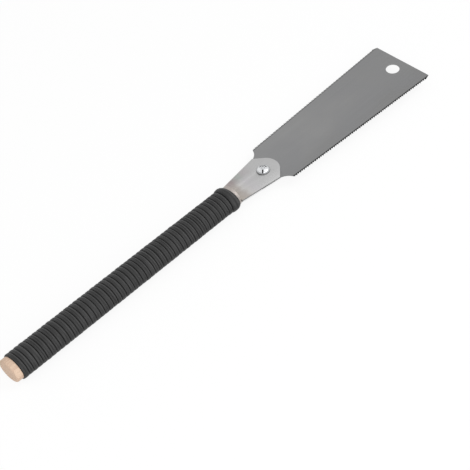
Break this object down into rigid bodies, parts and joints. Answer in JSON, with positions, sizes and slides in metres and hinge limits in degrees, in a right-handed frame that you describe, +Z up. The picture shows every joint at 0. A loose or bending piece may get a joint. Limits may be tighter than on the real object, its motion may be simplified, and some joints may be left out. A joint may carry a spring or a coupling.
{
  "type": "flush cut saw",
  "caption": "Pull saw with a thin flat blade toothed on both edges, clamped by a screw between two holder plates on an oval wooden handle wound with a flat strip.",
  "frame": {"origin": "under the middle of the saw's length, on the surface that the winding rests on", "axes": "+X from the butt to the blade's tip, +Z up on the screw's side, +Y towards the crosscut edge"},
  "size_m": [0.414, 0.0576, 0.0193],
  "materials": {
    "blade_steel": "satin ground spring steel",
    "holder_steel": "satin steel with a faint tint near the handle",
    "screw_steel": "bright plated",
    "ferrule_steel": "satin",
    "handle_wood": "pale bare wood",
    "winding_strip": "matte black"
  },
  "bodies": {
    "handle": {"handle_core": "handle_wood", "grip_winding": "winding_strip", "ferrule": "ferrule_steel", "holder_top_plate": "holder_steel", "holder_under_plate": "holder_steel", "plate_spacer": "holder_steel", "tail_pins": "holder_steel", "clinch_nut": "screw_steel"},
    "blade": {"blade": "blade_steel"},
    "washer": {"screw_washer": "screw_steel"},
    "screw": {"clamp_screw": "screw_steel"}
  },
  "joints": [
    {"name": "blade_slide", "type": "slide", "parent": "handle", "child": "blade", "axis": [1, 0, 0], "range_m": [0, 0.045]},
    {"name": "washer_lift", "type": "slide", "parent": "handle", "child": "washer", "axis": [0, 0, 1], "range_m": [0, 0.0016]},
    {"name": "screw_turn", "type": "hinge", "parent": "washer", "child": "screw", "pos_m": [0.0458, 0, 0.00958], "axis": [0, 0, 1], "range_deg": [0, 720]}
  ],
  "couplings": [
    {"joint": "screw_turn", "follows": "washer_lift", "rad_per_m": 7853.9}
  ]
}
